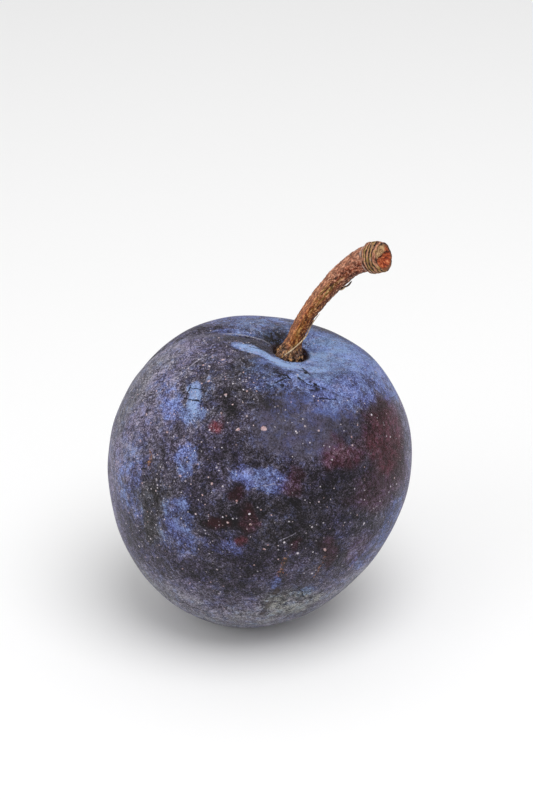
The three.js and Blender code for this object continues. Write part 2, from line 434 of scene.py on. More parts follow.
# Where pale flecks crowd together.
FLECK_PATCHES = {
    "left cheek": (0.8, -55, 35, 42, 48),
    "upper left": (0.5, -20, 58, 26, 16),
    "beside the cavity": (0.5, -70, 80, 16, 8),
    "lower front": (0.35, 5, -2, 30, 14),
    "right cheek": (0.3, 62, 15, 25, 25),
    "low left": (0.35, -35, -25, 35, 20),
    "low right": (0.35, 45, -25, 30, 20),
    "back": (0.35, 180, 0, 85, 60),
}


# The zones that nothing else is added to.
PLAIN_ZONES = {
    "film": FILM_PATCHES,
    "red": RED_PATCHES,
    "crazed": CRAZED_PATCHES,
    "smoky": SMOKY_PATCHES,
    "green": GREEN_PATCHES,
    "fleck": FLECK_PATCHES,
}


def zone(ways, patches):
    total = np.zeros(len(ways))
    for amount, *oval in patches.values():
        total = total + amount * patch(ways, *oval)
    return total


def plan_patch(points, x, y, long, wide, turn):
    """1 inside an oval on the top of the fruit, in its own plan."""
    c, s = math.cos(math.radians(turn)), math.sin(math.radians(turn))
    u, v = points[:, 0] - x, points[:, 1] - y
    q = np.hypot((u * c + v * s) / long, (v * c - u * s) / wide)
    return np.where(points[:, 2] > 0, 1 - smooth(0.7, 1.3, q), 0)


def build_fruit():
    polar = ring_angles()
    bearing = ring_bearings(FRUIT_SIDES)
    t, b = np.meshgrid(polar, bearing, indexing="ij")
    ray = np.stack([np.sin(t) * np.cos(b), np.sin(t) * np.sin(b), np.cos(t)], -1)
    axis, angle = rest_turns(t)
    rings = skin_points(rotate(ray, axis, angle))
    # The skin isn't a perfect egg: broad soft lumps, and a torn rim round the socket.
    normals = grid_normals(rings)
    distance = t * float(egg_radius(np.array([0.0, 0.0, 1.0])))
    away = smooth(5.0, 9.0, distance) * (1 - smooth(2.5, 3.0, t))
    lumps = 0.13 * away * fractal_noise(rings, 9.0, 2, 5)
    rim = np.exp(-(((distance - SOCKET_RADIUS - 0.55) / 0.3) ** 2))
    torn = 0.16 * rim * (0.5 + 0.5 * fractal_noise(rings, 0.9, 3, 8))
    rings = rings + normals * (lumps + torn)[..., None]
    rest = []
    for share in REST_SHARES:
        r = REST_RADIUS * share
        rest.append(np.stack([r * np.cos(bearing), r * np.sin(bearing), 0 * bearing], -1))
    rings = np.concatenate([rings, np.array(rest)])
    top = skin_points(np.array([0.0, 0.0, 1.0]))
    fruit = grid_mesh("fruit_skin", rings, first=top, last=np.zeros(3))
    co = np.empty(len(fruit.data.vertices) * 3)
    fruit.data.vertices.foreach_get("co", co)
    co = co.reshape(-1, 3) / MM
    ways = unit(co - BODY_CENTRE)
    warp = np.stack([fractal_noise(co, 4.0, 4, seed, 0.6) for seed in (21, 22, 23)], -1)
    ways = unit(ways + 0.05 * warp)
    own = (co - BODY_CENTRE) @ LEAN
    lateral = np.hypot(own[:, 0], own[:, 1])
    upper = own[:, 2] > 0
    bloom, rubbed = zone(ways, BLOOM_PATCHES), zone(ways, RUBBED_PATCHES)
    for x, y, long, wide, turn, more, less in CAVITY_PATCHES.values():
        near = plan_patch(own + 0.5 * warp @ LEAN, x, y, long, wide, turn)
        bloom, rubbed = bloom + more * near, rubbed + less * near
    set_attribute(fruit, "bloom", bloom)
    set_attribute(fruit, "sky", smooth(52, 74, np.degrees(np.arcsin(unit(own)[:, 2]))))
    set_attribute(fruit, "rubbed", rubbed)
    for name, patches in PLAIN_ZONES.items():
        set_attribute(fruit, name, zone(ways, patches))
    set_attribute(fruit, "socket", np.where(upper, 1 - smooth(2.6, 3.0, lateral), 0))
    in_hollow = hollow(lateral - 0.6, np.arctan2(own[:, 1], own[:, 0]))
    set_attribute(fruit, "hollow", np.where(upper, in_hollow, 0))
    return fruit


# ---------------------------------------------------------------- shader helpers


def srgb(r, g, b):
    """A colour given in 0-255 display values, as the linear colour that Blender works in."""
    out = []
    for c in (r, g, b):
        c /= 255
        out.append(c / 12.92 if c <= 0.04045 else ((c + 0.055) / 1.055) ** 2.4)
    return (*out, 1.0)


class Shader:
    """Makes nodes in one material. Inputs are sockets, numbers or colours."""

    def __init__(self, name):
        self.material = bpy.data.materials.new(name)
        self.material.use_nodes = True
        self.tree = self.material.node_tree
        self.tree.nodes.clear()

    def node(self, kind, inputs=None, **props):
        n = self.tree.nodes.new(kind)
        for key, value in props.items():
            setattr(n, key, value)
        for key, value in (inputs or {}).items():
            if isinstance(value, bpy.types.NodeSocket):
                self.tree.links.new(value, n.inputs[key])
            else:
                n.inputs[key].default_value = value
        return n

    def surface(self, inputs):
        """The finished material: one Principled shader with these inputs."""
        shader = self.node("ShaderNodeBsdfPrincipled", inputs)
        self.node("ShaderNodeOutputMaterial", {0: shader.outputs[0]})
        return self.material

    def bump(self, height, distance):
        inputs = {"Strength": 0.8, "Distance": distance, "Height": height}
        return self.node("ShaderNodeBump", inputs).outputs[0]

    def attribute(self, name):
        return self.node("ShaderNodeAttribute", attribute_name=name).outputs["Fac"]

    def math(self, op, a, b=0.0, clamp=False):
        return self.node("ShaderNodeMath", {0: a, 1: b}, operation=op, use_clamp=clamp).outputs[0]

    def add(self, a, b):
        return self.math("ADD", a, b)

    def minus(self, a, b):
        return self.math("SUBTRACT", a, b)

    def times(self, a, b, clamp=False):
        return self.math("MULTIPLY", a, b, clamp)

    def most(self, a, b):
        return self.math("MAXIMUM", a, b)

    def step(self, low, high, value, to_low=0.0, to_high=1.0):
        """value eased from to_low at low to to_high at high."""
        n = self.node(
            "ShaderNodeMapRange",
            {0: value, 1: low, 2: high, 3: to_low, 4: to_high},
            interpolation_type="SMOOTHSTEP",
            clamp=True,
        )
        return n.outputs[0]

    def vector(self, op, a, b=(0.0, 0.0, 0.0)):
        return self.node("ShaderNodeVectorMath", {0: a, 1: b}, operation=op).outputs[0]

    def scaled(self, a, factors):
        return self.vector("MULTIPLY", a, factors)

    def xyz(self, x, y, z=0.0):
        return self.node("ShaderNodeCombineXYZ", {0: x, 1: y, 2: z}).outputs[0]

    def dot(self, a, b):
        inputs = {0: a, 1: tuple(float(v) for v in b)}
        return self.node("ShaderNodeVectorMath", inputs, operation="DOT_PRODUCT").outputs["Value"]

    def millimetres(self):
        c = self.node("ShaderNodeTexCoord").outputs["Object"]
        return self.scaled(c, (1000.0, 1000.0, 1000.0))

    def from_centre(self, at):
        return self.vector("SUBTRACT", at, tuple(float(v) for v in BODY_CENTRE))

    def mix(self, amount, a, b):
        inputs = {0: amount, 6: a, 7: b}
        return self.node("ShaderNodeMix", inputs, data_type="RGBA", clamp_factor=True).outputs[2]

    def shade(self, colour, factor):
        """colour multiplied by a brightness factor."""
        return self.node("ShaderNodeVectorMath", {0: colour, 3: factor}, operation="SCALE").outputs[0]

    def paint(self, colour, amount, *display):
        """colour painted over with a 0-255 display colour."""
        return self.mix(amount, colour, srgb(*display))

    def blend(self, low, high, value, a, b):
        """Display colour a where value is low, and b where it is high."""
        return self.mix(self.step(low, high, value), srgb(*a), srgb(*b))

    def tint(self, amount, colour, factors):
        return self.mix(amount, colour, self.scaled(colour, factors))

    def channels(self, colour):
        return self.node("ShaderNodeSeparateColor", {0: colour}).outputs

    def ramp(self, value, places, *colours):
        """A ramp with one colour, in 0-255 display values, at each place."""
        n = self.node("ShaderNodeValToRGB", {0: value})
        bar = n.color_ramp.elements
        while len(bar) < len(places):
            bar.new(0.5)
        for element, place, colour in zip(bar, places, colours):
            element.position, element.color = place, srgb(*colour)
        return n.outputs[0]

    def noise(self, at, size, detail=4.0, rough=0.55, distort=0.0):
        """Noise whose largest features are about size mm across."""
        return self.node(
            "ShaderNodeTexNoise",
            {"Vector": at, "Scale": 1.0 / size, "Detail": detail, "Roughness": rough, "Distortion": distort},
        ).outputs["Fac"]

    def warp(self, at, size, amount, detail=3.0):
        """Points pushed about by noise, so that what is drawn there gets ragged edges."""
        n = self.node("ShaderNodeTexNoise", {"Vector": at, "Scale": 1.0 / size, "Detail": detail})
        push = self.vector("SUBTRACT", n.outputs["Color"], (0.5, 0.5, 0.5))
        return self.vector("ADD", at, self.scaled(push, (amount, amount, amount)))

    def blots(self, at, size, detail, rough, width, distort=0.0):
        """Crisp ragged blots, -0.5 to 0.5, from a steep cut through noise."""
        cut = self.noise(at, size, detail, rough, distort)
        return self.step(0.5 - width, 0.5 + width, cut, -0.5, 0.5)

    def lines(self, at, size, thickness, where):
        """Thin lines of a broken net, 0 to 1. where is a noise that says where they show."""
        net = self.cells(at, size, "DISTANCE_TO_EDGE").outputs["Distance"]
        half = thickness / size
        net = self.minus(1.0, self.step(0.4 * half, half, net))
        return self.times(net, self.step(0.5, 0.58, where))

    def strokes(self, at, turn, length, width, low, high):
        """Short fine strokes that all run about one way."""
        turned = self.node("ShaderNodeVectorRotate", {0: at, 4: turn}, rotation_type="EULER_XYZ").outputs[0]
        squeezed = self.scaled(turned, (1.0 / length, 1.0 / width, 1.0 / width))
        return self.step(low, high, self.noise(squeezed, 1.0, 1.0, 0.5, 0.3))

    def arc(self, way, start, end, width):
        """1 on a thin mark across the skin between two (azimuth, elevation) directions."""
        a, b = direction(*start), direction(*end)
        middle = unit(a + b)
        reach = float(a @ middle)
        off = self.math("ABSOLUTE", self.dot(way, unit(np.cross(a, b))))
        half = 0.5 * width / BODY_RADIUS
        line = self.step(0.5 * half, 1.3 * half, off, 1.0, 0.0)
        return self.times(line, self.step(reach, 1 - 0.7 * (1 - reach), self.dot(way, middle)))

    def arcs(self, way, marks):
        found = 0.0
        for start, end, width in marks.values():
            found = self.most(found, self.arc(way, start, end, width))
        return found

    def cells(self, at, size, feature="F1", randomness=1.0):
        return self.node(
            "ShaderNodeTexVoronoi",
            {"Vector": at, "Scale": 1.0 / size, "Randomness": randomness},
            feature=feature,
        )


# ---------------------------------------------------------------- skin material


# Thin dark cracks in the wax: start and end (azimuth, elevation) and width in mm.
CRACKS = {
    "finger": ((-23, 80), (55, 79), 0.2),
    "band, outer": ((-64, 73), (-44, 81), 0.2),
    "band, inner": ((-40, 82), (50, 84), 0.2),
    "band, upper": ((-85, 77), (-20, 87), 0.2),
    "front lip, left": ((20, 82), (66, 80), 0.18),
    "front lip, right": ((64, 80), (48, 71), 0.15),
    "shoulder, outer": ((47, 66), (41, 58), 0.33),
    "shoulder, inner": ((30, 60), (32, 55), 0.21),
    "shoulder, inner end": ((31, 55.5), (37, 52.5), 0.27),
    "shoulder, left": ((10, 58), (22, 60), 0.3),
    "shoulder, left top": ((17, 64), (20, 60), 0.24),
    "below the shoulder": ((33, 49), (44, 46), 0.18),
    "top of the square": ((-44, 52), (-33, 52), 0.21),
    "side of the square": ((-44, 53), (-42, 47), 0.21),
    "foot of the square": ((-44, 47.5), (-30, 47.5), 0.26),
    "side of the square, outer": ((-48, 52), (-45, 47), 0.16),
    "right of the square": ((-33, 53), (-32, 47), 0.18),
    "low left": ((-8, -27), (5, -32), 0.21),
    "low right": ((18, -29), (23, -38), 0.21),
    "low right, branch": ((9, -28), (19, -30), 0.18),
    "side branch": ((6, -37), (16, -33), 0.15),
}

# Large single lenticels: azimuth, elevation and radius in mm.
LARGE_LENTICELS = {
    "middle": (3, 40.5, 0.31),
    "top left": (-35, 67.5, 0.19),
    "above the square": (-33.5, 56.5, 0.18),
    "upper middle": (-19.5, 52.5, 0.15),
    "above the red spot": (-18.5, 45.5, 0.14),
    "right of the red spot": (-9, 40, 0.19),
    "left": (-43.5, 33.5, 0.14),
    "far left": (-60, 35, 0.16),
    "middle left": (-32, 20, 0.15),
    "left of the core": (-18.5, 19.5, 0.18),
    "core": (-8, 14, 0.14),
    "core, lower": (-11.5, 5.5, 0.14),
    "core, right": (-3, 5.5, 0.15),
    "low pair, left": (2.4, -5.6, 0.14),
    "low pair, right": (3.4, -3.6, 0.13),
    "cheek, top": (42, 31.5, 0.14),
    "cheek, right": (60.5, 9, 0.14),
    "low right": (26, -9, 0.15),
}

# Rusty veins in the low cracks.
VEINS = {
    "middle": ((10.5, -9), (7.5, -20), 0.5),
    "middle, branch": ((9, -15), (11.5, -20), 0.36),
    "right": ((27, -12), (23, -24), 0.36),
    "far right": ((44, -20), (41, -26), 0.34),
    "left cheek": ((-49, 26), (-47.5, 18), 0.6),
}

# Brown strips that run down to the underside.
STRIPS = {
    "upper": ((12, -7), (8.5, -19), 0.5),
    "lower": ((9, -24), (1, -47), 0.7),
}

# Pale raised scratches.
SCRATCHES = {
    "upper left": ((-56, 54), (-54, 66), 0.16),
    "left": ((-59, 51), (-56, 55), 0.12),
    "middle": ((-3, 19), (9, 21), 0.10),
    "low": ((8, -2), (14, 1), 0.16),
}


# How much wax the colours of the skin's ramps stand for.
COVER_STEPS = (0.0, 0.25, 0.55, 1.0)
BASE_COVER = 0.33


def own_place(s, at):
    """Place (mm) in the fruit's own leaning frame, slightly warped, as three numbers."""
    from_centre = s.from_centre(s.warp(at, 2.5, 0.5))
    return [s.dot(from_centre, LEAN[:, k]) for k in range(3)]


def frayed_bloom(s, ragged):
    """The bloom's patches, their edges frayed more finely than the mesh's grid can hold."""
    bloom = s.attribute("bloom")
    fray = s.minus(s.noise(ragged, 1.4, 6.0, 0.75), 0.5)
    fray = s.times(fray, s.step(0.02, 0.12, bloom, 0.0, 0.7))
    return s.most(s.add(bloom, fray), 0.0)


def streaks_from_stem(s, own):
    """Fine streaks that run down from the stem."""
    own_x, own_y, own_z = own
    round_stem = s.scaled(s.vector("NORMALIZE", s.xyz(own_x, own_y)), (66.0, 66.0, 0.0))
    down = s.xyz(0.0, 0.0, s.times(own_z, 0.5))
    return s.blots(s.vector("ADD", round_stem, down), 1.0, 3.0, 0.7, 0.15)


def hairlines(s, at, drift):
    """Hairline cracks in the wax: two broken nets, and rubbed strokes."""
    net = s.most(
        s.lines(s.warp(at, 1.1, 1.6, 4.0), 2.9, 0.09, drift),
        s.lines(s.warp(at, 0.6, 0.9, 3.0), 1.1, 0.07, s.noise(at, 1.9, 3.0)),
    )
    rubs = s.most(
        s.strokes(at, (0.3, 0.5, 0.7), 2.4, 0.13, 0.60, 0.68),
        s.strokes(at, (1.1, -0.4, 2.2), 1.8, 0.11, 0.61, 0.68),
    )
    return s.most(net, rubs)


def wax_cover(s, at, ragged, own, bloom, drift):
    """How much wax covers the skin, 0 to 1: patches, then crisp ragged detail at every size."""
    broad = s.blots(ragged, 4.5, 9.0, 0.72, 0.07)
    middle = s.blots(ragged, 1.5, 8.0, 0.74, 0.06)
    small = s.blots(at, 0.62, 6.0, 0.75, 0.05, 0.6)
    tiny = s.blots(at, 0.30, 2.0, 0.7, 0.07, 0.8)
    grain = s.blots(at, 0.16, 1.0, 0.5, 0.12)
    # The wax of the shoulder and the smoky film are calmer, with soft streaks.
    smoky = s.step(0.0, 0.8, s.attribute("smoky"))
    calm = s.most(s.times(s.step(0.18, 0.34, bloom), 0.75), s.times(smoky, 0.9))
    zones = s.minus(s.add(bloom, s.attribute("film")), s.attribute("rubbed"))
    ragged_detail = s.add(s.times(broad, 0.155), s.times(middle, 0.18))
    ragged_detail = s.add(ragged_detail, s.times(small, 0.20))
    ragged_detail = s.times(ragged_detail, s.minus(1.0, s.times(calm, 0.7)))
    fine_detail = s.add(s.times(tiny, 0.24), s.times(grain, 0.26))
    fine_detail = s.times(fine_detail, s.minus(1.0, s.times(calm, 0.1)))
    fine_detail = s.times(fine_detail, s.minus(1.0, s.times(smoky, 0.45)))
    brushed = s.times(s.times(streaks_from_stem(s, own), calm), s.minus(0.16, s.times(smoky, 0.08)))
    detail = s.add(s.add(ragged_detail, fine_detail), brushed)
    cover = s.add(s.add(zones, BASE_COVER), detail)
    marks = s.times(hairlines(s, at, drift), s.minus(0.55, s.times(calm, 0.5)))
    return s.times(cover, s.minus(1.0, marks), clamp=True)


def wax_colour(s, cover, bloom, drift, tone):
    """Bare skin, thin film and thick wax: grey violet, or bluer where it is bloom."""
    plain = s.ramp(cover, COVER_STEPS, (13, 10, 14), (46, 40, 49), (88, 83, 100), (166, 160, 180))
    blue = s.ramp(cover, COVER_STEPS, (14, 12, 20), (48, 46, 70), (84, 92, 138), (142, 162, 212))
    sky = s.ramp(cover, COVER_STEPS, (16, 15, 22), (50, 52, 72), (82, 95, 136), (146, 172, 216))
    blue = s.mix(s.attribute("sky"), blue, sky)
    blueness = s.add(s.step(-0.02, 0.26, bloom), s.minus(s.step(0.3, 0.7, tone), 0.5))
    colour = s.mix(blueness, plain, blue)
    # Purple, grey-green and red tones.
    purple = s.times(s.step(0.42, 0.62, drift), 0.35)
    colour = s.tint(purple, colour, (1.0, 0.88, 1.25))
    colour = s.tint(s.attribute("green"), colour, (1.0, 1.08, 0.78))
    colour = s.tint(s.attribute("smoky"), colour, (0.92, 0.96, 1.0))
    red_cover = s.times(s.attribute("red"), s.step(0.35, 0.65, tone, 0.45, 1.0), clamp=True)
    redness = s.ramp(cover, (0.0, 0.4, 1.0), (60, 15, 20), (118, 43, 49), (186, 106, 108))
    return s.mix(red_cover, colour, redness)


def draw_marks(s, at, way, own, colour):
    """The larger cracks, strips, scratches and veins, and the pale line of the suture.

    Returns the colour, the cracks, and what stands up from the skin.
    """
    broken = s.step(0.34, 0.46, s.noise(at, 0.7, 3.0, 0.7), 0.2, 1.0)
    crack = s.times(s.arcs(way, CRACKS), broken)
    crazing = s.lines(s.warp(at, 0.9, 1.5, 3.0), 1.5, 0.26, s.noise(at, 1.3, 2.0))
    crack = s.most(crack, s.times(crazing, s.times(s.attribute("crazed"), 0.9)))
    colour = s.paint(colour, s.times(crack, 0.95), 20, 18, 26)
    strip = s.times(s.arcs(way, STRIPS), broken)
    colour = s.paint(colour, s.times(strip, 0.7), 56, 46, 40)
    scratch = s.times(s.arcs(way, SCRATCHES), broken)
    colour = s.paint(colour, s.times(scratch, 0.6), 178, 172, 190)
    vein = s.times(s.arcs(way, VEINS), s.step(0.48, 0.62, s.noise(at, 0.36, 4.0, 0.75)))
    rust = s.blend(0.4, 0.6, s.noise(at, 0.3, 2.0), (128, 72, 54), (196, 142, 92))
    colour = s.mix(s.times(vein, 0.75), colour, rust)
    own_x, own_y, _ = own
    across = s.minus(s.times(own_y, math.cos(SUTURE_SIDE)), s.times(own_x, math.sin(SUTURE_SIDE)))
    outward = s.add(s.times(own_x, math.cos(SUTURE_SIDE)), s.times(own_y, math.sin(SUTURE_SIDE)))
    across = s.add(across, s.times(s.minus(s.noise(at, 1.2, 5.0, 0.7), 0.5), 0.9))
    seam = s.times(s.step(0.10, 0.26, s.math("ABSOLUTE", across), 1.0, 0.0), s.step(1.6, 2.6, outward))
    seam = s.times(seam, s.step(8.0, 11.0, outward, 1.0, 0.0))
    colour = s.paint(colour, s.times(seam, s.times(broken, 0.8)), 158, 158, 174)
    return colour, crack, s.most(scratch, seam)


def draw_dots(s, at, way, colour):
    """Flecks and lenticels: pale corky dots, some pink or rusty, each larger kind rarer. Dark pores.

    Returns the colour, the dots that stand up from the skin, and the pores.
    """
    fleck_share = s.step(0.0, 1.0, s.attribute("fleck"), 0.82, 0.25)
    dots = []
    for size, share, largest in (
        (0.46, fleck_share, 0.12),
        (0.9, fleck_share, 0.16),
        (2.1, s.minus(fleck_share, 0.1), 0.2),
        (4.0, 0.45, 0.28),
    ):
        spots = s.cells(s.warp(at, 0.3, 0.2), size)
        pick = s.channels(spots.outputs["Color"])
        radius = s.step(share, 1.0, pick[0], 0.0, largest / size)
        inside = s.minus(radius, spots.outputs["Distance"])
        dot = s.step(0.0, 0.03 / size, inside)
        tint = s.blend(0.5, 1.0, pick[1], (212, 204, 214), (206, 172, 172))
        colour = s.mix(s.times(dot, s.step(0.0, 1.0, pick[2], 0.35, 0.95)), colour, tint)
        dots.append(dot)
    spot = 0.0
    for azimuth, elevation, radius in LARGE_LENTICELS.values():
        edge = math.cos(radius / BODY_RADIUS)
        facing = s.dot(way, direction(azimuth, elevation))
        spot = s.most(spot, s.step(2 * edge - 1, 0.5 + 0.5 * edge, facing))
    corky = s.blend(0.35, 0.65, s.noise(at, 0.2, 2.0), (168, 116, 116), (226, 204, 206))
    colour = s.mix(s.times(spot, 0.75), colour, corky)
    pore = 0.0
    for size, radius, share in ((0.7, 0.1, 0.35), (0.42, 0.075, 0.4)):
        pores = s.cells(s.warp(at, 0.3, 0.15), size)
        here = s.math("LESS_THAN", pores.outputs["Distance"], radius / size)
        chosen = s.math("GREATER_THAN", s.channels(pores.outputs["Color"])[0], share)
        pore = s.most(pore, s.times(here, chosen))
    colour = s.paint(colour, s.times(pore, 0.8), 22, 18, 22)
    return colour, s.add(s.add(dots[2], dots[3]), spot), pore


def skin_material():
    s = Shader("skin")
    at = s.millimetres()
    ragged = s.warp(at, 1.6, 1.2, 4.0)
    drift = s.noise(at, 3.2, 3.0)
    tone = s.noise(at, 1.1, 4.0, 0.7)
    own = own_place(s, at)
    bloom = frayed_bloom(s, ragged)
    cover = wax_cover(s, at, ragged, own, bloom, drift)
    way = s.vector("NORMALIZE", s.from_centre(s.warp(at, 1.3, 0.9, 3.0)))
    colour = wax_colour(s, cover, bloom, drift, tone)
    colour, crack, raised = draw_marks(s, at, way, own, colour)
    colour, dots, pore = draw_dots(s, at, way, colour)

    # The hollow beside the stem is painted dark, unevenly, as painted shade.
    hollow_shade = s.step(0.38, 0.6, s.noise(at, 0.6, 4.0, 0.75), 1.7, 0.7)
    hollow_shade = s.times(s.attribute("hollow"), hollow_shade, clamp=True)
    colour = s.paint(colour, hollow_shade, 30, 27, 27)
    # Dark brown lip of the socket: partly its real brown, partly painted shade in the gap round the stem's
    # foot.
    lip = s.times(s.attribute("socket"), s.step(0.3, 0.5, s.noise(at, 0.5, 3.0), 0.5, 1.0))
    colour = s.paint(colour, lip, 48, 28, 24)

    height = s.add(s.times(cover, 0.9), s.times(dots, 0.5))
    height = s.minus(height, s.times(s.most(pore, crack), 0.5))
    height = s.add(height, s.times(raised, 0.5))
    return s.surface(
        {
            "Base Color": colour,
            "Roughness": s.step(0.0, 1.0, cover, 0.45, 0.75),
            "Normal": s.bump(height, 0.0001),
            "Specular IOR Level": 0.18,
            "Sheen Weight": 0.25,
            "Sheen Roughness": 0.20,
            "Sheen Tint": srgb(214, 218, 240),
        }
    )


# ---------------------------------------------------------------- stem (mm)

STEM_ROUTE = np.array(
    [
        [6.2, -1.1, 43.6],
        [7.6, -1.3, 46.6],
        [9.3, -1.5, 49.3],
        [11.6, -1.6, 52.2],
        [13.8, -2.0, 54.4],
        [15.5, -3.0, 55.7],
        [17.6, -4.7, 56.7],
    ]
)
STEM_SIDES = 96
STEM_RINGS = 440
# How far the stem's foot lies from the fruit's centre, along the fruit's own axis.
FOOT_HEIGHT = 17.26
SHAFT_RADIUS = 1.08
COLLAR_FLARE = 1.02
COLLAR_REACH = 1.7
KNUCKLE_LENGTH = 2.75
KNUCKLE_STEP = 0.36
KNUCKLE_RING_SPACING = 0.46
END_ROUNDING = 0.9
# Sizes of the rings of the cut face, as shares of the stem's end.
CUT_SHARES = (0.95, 0.9, 0.82, 0.73, 0.64, 0.55, 0.46, 0.37, 0.28, 0.19, 0.1)
CUT_DISH = 0.55
THREAD_SIDES = 10
THREAD_RINGS = 90


def smooth_route(points, count):
    """Evenly spaced points on a centripetal Catmull-Rom curve through points."""
    ends = np.vstack([2 * points[0] - points[1], points, 2 * points[-1] - points[-2]])
    out = []
    for p0, p1, p2, p3 in zip(ends[:-3], ends[1:-2], ends[2:-1], ends[3:]):
        t1 = np.linalg.norm(p1 - p0) ** 0.5
        t2 = t1 + np.linalg.norm(p2 - p1) ** 0.5
        t3 = t2 + np.linalg.norm(p3 - p2) ** 0.5
        t = np.linspace(t1, t2, 60, endpoint=False)[:, None]
        a1 = (t1 - t) / t1 * p0 + t / t1 * p1
        a2 = (t2 - t) / (t2 - t1) * p1 + (t - t1) / (t2 - t1) * p2
        a3 = (t3 - t) / (t3 - t2) * p2 + (t - t2) / (t3 - t2) * p3
        b1 = (t2 - t) / t2 * a1 + t / t2 * a2
        b2 = (t3 - t) / (t3 - t1) * a2 + (t - t1) / (t3 - t1) * a3
        out.append((t2 - t) / (t2 - t1) * b1 + (t - t1) / (t2 - t1) * b2)
    out.append(points[-1:])
    line = np.vstack(out)
    run = np.concatenate([[0], np.cumsum(np.linalg.norm(np.diff(line, axis=0), axis=1))])
    at = np.linspace(0, run[-1], count)
    return np.stack([np.interp(at, run, line[:, k]) for k in range(3)], 1), run[-1]


def carried_frames(centres, start_side):
    """Forward, side and up directions along a line, turned as little as possible."""
    forward = unit(np.gradient(centres, axis=0))
    side, sides = np.array(start_side, float), []
    for f in forward:
        side = unit(side - f * (side @ f))
        sides.append(side)
    sides = np.array(sides)
    return forward, sides, np.cross(forward, sides)


def spokes(side, up, bearing):
    """Outward directions of each ring along a line."""
    return side[:, None] * np.cos(bearing)[None, :, None] + up[:, None] * np.sin(bearing)[None, :, None]


def stem_radius(distance, length):
    """Radius at a distance along the stem, and 0 to 1 for how far that is onto the knuckle."""
    knuckle_start = length - KNUCKLE_LENGTH
    thickening = 0.30 * smooth(-3.5, 0.5, distance - knuckle_start)
    shaft = SHAFT_RADIUS + 0.34 * smooth(6.0, 17.0, distance) + thickening
    collar = COLLAR_FLARE * np.exp(-((distance / COLLAR_REACH) ** 2))
    on_knuckle = smooth(knuckle_start, knuckle_start + 0.8, distance)
    edge = np.clip(distance - (length - END_ROUNDING), 0, END_ROUNDING)
    rounding = END_ROUNDING - np.sqrt(np.maximum(END_ROUNDING**2 - edge**2, 0))
    return shaft + collar + KNUCKLE_STEP * on_knuckle - 0.42 * rounding, on_knuckle


def cut_face(centre, normal, out, radius, bearing):
    """Rings of the cut face, and each point's place to the right (u) and up (v) on it.

    It is a shallow dish with fan-like ridges, and a shelf on its upper left.
    """
    face_up = unit(np.array([0.0, 0.0, 1.0]) - normal * normal[2])
    face_right = np.cross(face_up, normal)
    fan = np.abs(np.sin(5.5 * bearing + 0.8 * np.sin(3 * bearing))) ** 0.7
    face, face_u, face_v = [], [], []
    for share in CUT_SHARES:
        spread = out * (radius * share)[:, None]
        u, v = (out @ face_right) * radius * share, (out @ face_up) * radius * share
        shelf = smooth(0.1, 0.4, v - 0.15 * u) * smooth(-0.9, 0.1, 0.6 - u)
        dish = CUT_DISH * (1 - smooth(0.55, 0.98, share)) * (1 - 0.75 * shelf)
        rough = 0.10 * fractal_noise(spread, 0.5, 3, 41) + 0.06 * (fan - 0.5) * share * (1 - shelf)
        face.append(centre + spread + normal * (rough - dish)[:, None])
        face_u.append(u)
        face_v.append(v)
    return np.array(face), np.array(face_u), np.array(face_v)


